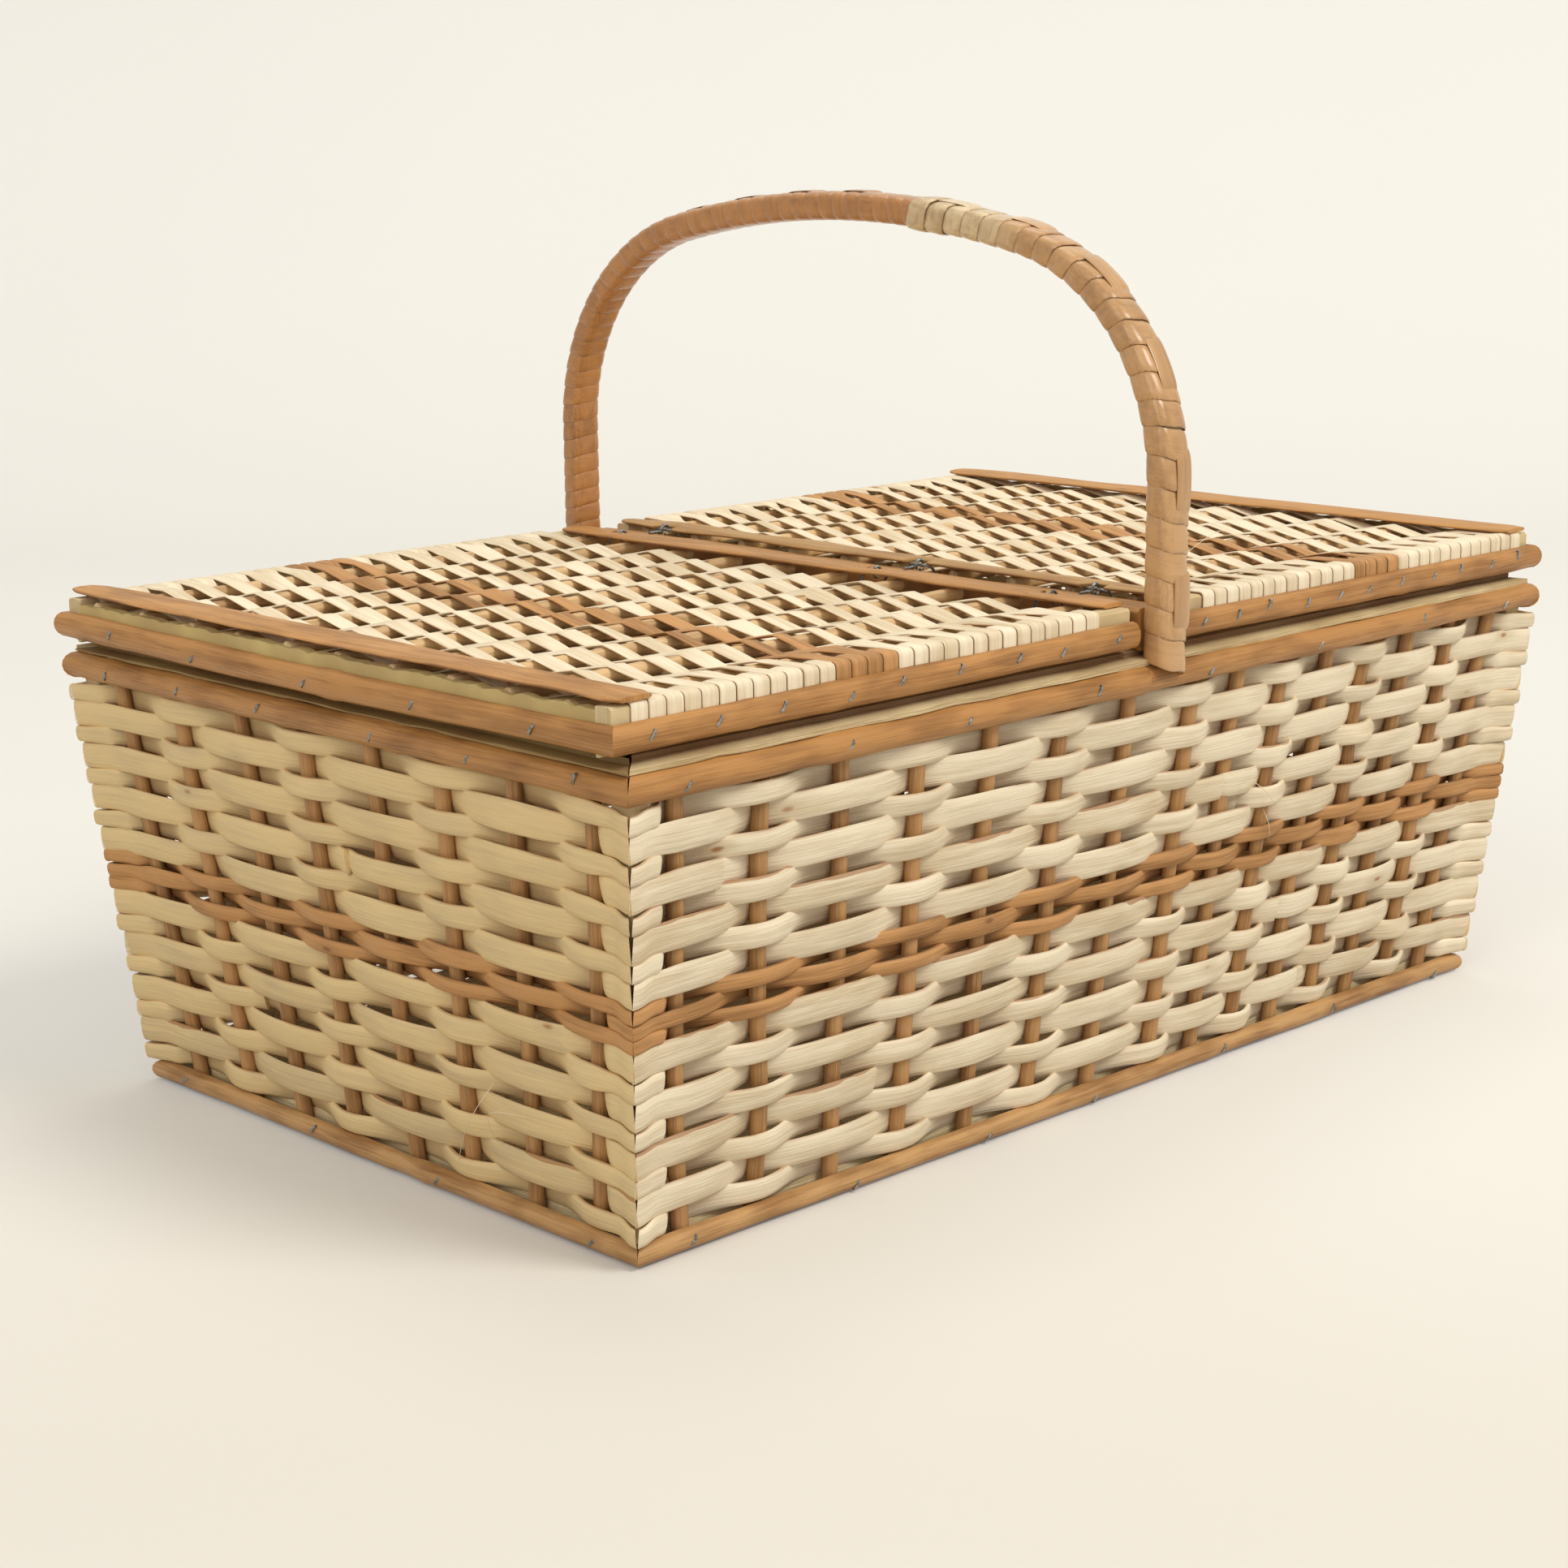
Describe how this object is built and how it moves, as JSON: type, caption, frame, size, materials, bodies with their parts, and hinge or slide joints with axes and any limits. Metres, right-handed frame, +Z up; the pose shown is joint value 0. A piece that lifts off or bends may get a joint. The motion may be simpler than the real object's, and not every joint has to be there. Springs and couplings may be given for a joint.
{
  "type": "picnic basket",
  "caption": "Split willow picnic basket with flared woven walls, two woven lids hinged on a middle bar, and a fixed arch handle wrapped in flat cane.",
  "frame": {"origin": "under the middle of the basket, on the surface that it stands on", "axes": "+X along the basket's length, -Y out of its front, +Z up"},
  "size_m": [0.4264, 0.2719, 0.2756],
  "materials": {
    "peeled_willow": "split and peeled willow, dry and smooth",
    "unpeeled_willow": "split willow with its bark skin left on",
    "willow_rod": "round boiled willow rod, dry",
    "willow_band": "half round split rod, lightly varnished",
    "willow_strip": "flat split strip, lightly varnished",
    "pine_batten": "rough sawn pine",
    "core_wood": "bent wood, bare",
    "tan_cane": "flat cane, glossy varnish",
    "brown_cane": "flat cane, glossy varnish",
    "hinge_wire": "bright steel wire"
  },
  "bodies": {
    "root": {"base_cross_battens": "pine_batten", "base_frame": "pine_batten", "base_slats": "pine_batten", "corner_posts": "pine_batten", "foot_band_back": "willow_band", "foot_band_front": "willow_band", "foot_band_left": "willow_band", "foot_band_right": "willow_band", "handle_core": "core_wood", "handle_wrap_back": "brown_cane", "handle_wrap_front": "tan_cane", "hinge_eyes": "hinge_wire", "middle_bar": "pine_batten", "rim_band_back": "willow_band", "rim_band_front": "willow_band", "rim_band_left": "willow_band", "rim_band_right": "willow_band", "rim_batten_back": "pine_batten", "rim_batten_front": "pine_batten", "rim_batten_left": "pine_batten", "rim_batten_right": "pine_batten", "stakes_back": "willow_rod", "stakes_front": "willow_rod", "stakes_left": "willow_rod", "stakes_right": "willow_rod", "weave_back_brown": "unpeeled_willow", "weave_back_peeled": "peeled_willow", "weave_front_brown": "unpeeled_willow", "weave_front_peeled": "peeled_willow", "weave_left_brown": "unpeeled_willow", "weave_left_peeled": "peeled_willow", "weave_right_brown": "unpeeled_willow", "weave_right_peeled": "peeled_willow"},
    "left_lid": {"left_lid_back_band": "willow_band", "left_lid_back_batten": "pine_batten", "left_lid_end_band": "willow_band", "left_lid_end_batten": "pine_batten", "left_lid_end_strip": "willow_strip", "left_lid_front_band": "willow_band", "left_lid_front_batten": "pine_batten", "left_lid_hinge_batten": "pine_batten", "left_lid_hinge_pins": "hinge_wire", "left_lid_hinge_strip": "willow_strip", "left_lid_rods": "willow_rod", "left_lid_weave_brown": "unpeeled_willow", "left_lid_weave_peeled": "peeled_willow"},
    "right_lid": {"right_lid_back_band": "willow_band", "right_lid_back_batten": "pine_batten", "right_lid_end_band": "willow_band", "right_lid_end_batten": "pine_batten", "right_lid_end_strip": "willow_strip", "right_lid_front_band": "willow_band", "right_lid_front_batten": "pine_batten", "right_lid_hinge_batten": "pine_batten", "right_lid_hinge_pins": "hinge_wire", "right_lid_hinge_strip": "willow_strip", "right_lid_rods": "willow_rod", "right_lid_weave_brown": "unpeeled_willow", "right_lid_weave_peeled": "peeled_willow"}
  },
  "joints": [
    {"name": "left_lid_hinge", "type": "hinge", "parent": "root", "child": "left_lid", "pos_m": [-0.0055, 0, 0.1564], "axis": [0, 1, 0], "range_deg": [0, 90]},
    {"name": "right_lid_hinge", "type": "hinge", "parent": "root", "child": "right_lid", "pos_m": [0.0145, 0, 0.1564], "axis": [0, -1, 0], "range_deg": [0, 90]}
  ]
}
